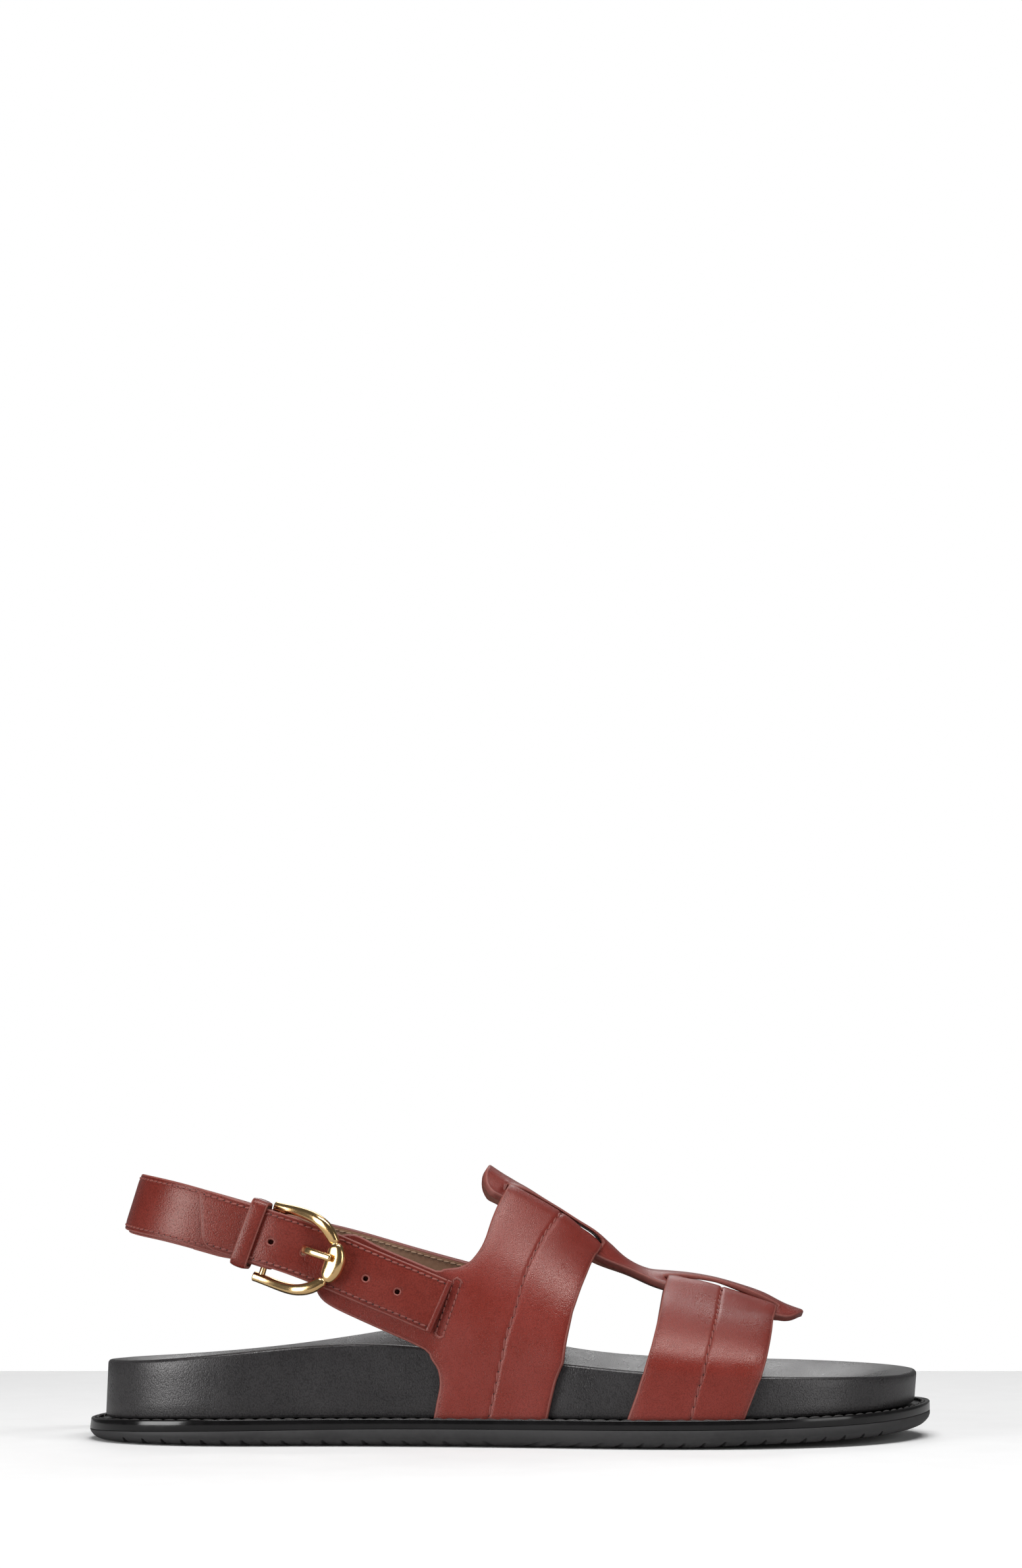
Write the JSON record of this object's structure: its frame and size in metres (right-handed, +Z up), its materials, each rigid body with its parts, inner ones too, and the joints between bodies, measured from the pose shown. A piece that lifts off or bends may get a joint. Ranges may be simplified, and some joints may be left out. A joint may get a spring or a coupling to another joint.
{
  "type": "fisherman sandal",
  "caption": "open-toe fisherman sandal for the right foot: leather bands woven through a centre strip, buckled heel strap, dished footbed and treaded rubber sole",
  "frame": {"origin": "on the floor under the middle of the sole", "axes": "+X from heel to toe, +Y to the inner (big toe) side, +Z up"},
  "size_m": [0.2626, 0.0981, 0.0843],
  "materials": {
    "rubber_outsole": "matt black moulded rubber",
    "welt_edge": "black, smooth and slightly glossy",
    "footbed_cover": "black grained leather over a shaped footbed",
    "upper_leather": "reddish brown, fine grain, low sheen",
    "strap_leather": "reddish brown, smooth, low sheen, painted edges",
    "buckle_metal": "polished gold colour"
  },
  "bodies": {
    "root": {"outsole": "rubber_outsole", "welt": "welt_edge", "footbed": "footbed_cover", "upper": "upper_leather", "heel_strap": "strap_leather", "buckle_strap": "strap_leather", "keeper_loop": "strap_leather", "buckle_frame": "buckle_metal", "buckle_prong": "buckle_metal"}
  },
  "joints": []
}
